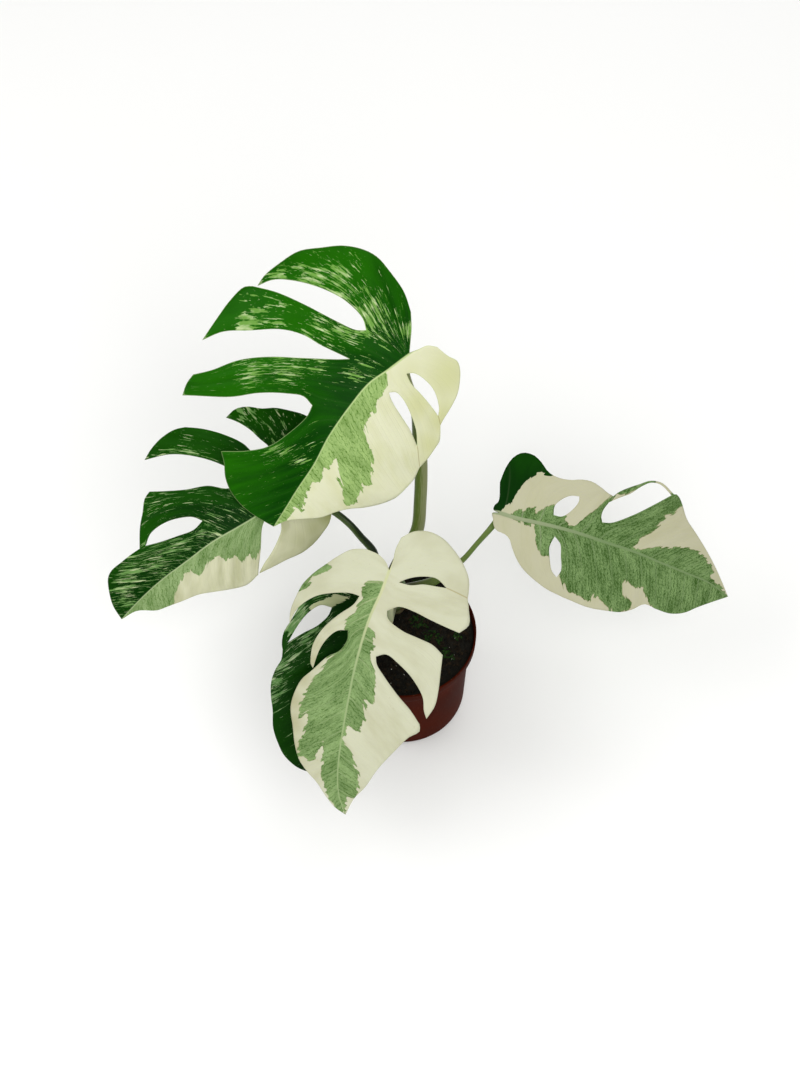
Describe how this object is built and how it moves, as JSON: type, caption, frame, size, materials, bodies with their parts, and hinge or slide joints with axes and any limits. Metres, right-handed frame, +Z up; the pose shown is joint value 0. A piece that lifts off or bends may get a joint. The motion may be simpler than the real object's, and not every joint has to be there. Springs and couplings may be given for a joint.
{
  "type": "potted variegated monstera plant",
  "caption": "Potted variegated monstera: a short stem with long petioles carrying split and holed green and cream leaf blades, in a round plastic nursery pot.",
  "frame": {"origin": "middle of the flat underside of the pot", "axes": "+Z up, -Y towards the front of the plant as pictured, +X to the right of that view"},
  "size_m": [0.491, 0.344, 0.3556],
  "materials": {
    "pot": "reddish brown nursery-pot plastic with a soft sheen",
    "soil": "damp, nearly black bark and peat mix",
    "stem": "dull green stem with old leaf scars",
    "petiole": "smooth green, partly greyish cream",
    "leaf_top": "satin green half marbled with cream, the other half cream with a sage patch",
    "leaf_left": "satin dark green half marbled with cream, the other half sage and cream",
    "leaf_front": "satin cream with a sage patch along the midrib",
    "leaf_low": "glossy dark green with fine light marbling",
    "leaf_right": "satin sage along the midrib, cream beyond it and a dark green basal lobe"
  },
  "bodies": {
    "root": {"pot": "pot", "soil": "soil", "stem": "stem", "petiole_top": "petiole", "petiole_left": "petiole", "petiole_front": "petiole", "petiole_low": "petiole", "petiole_right": "petiole", "leaf_top": "leaf_top", "leaf_left": "leaf_left", "leaf_front": "leaf_front", "leaf_low": "leaf_low", "leaf_right": "leaf_right"}
  },
  "joints": []
}
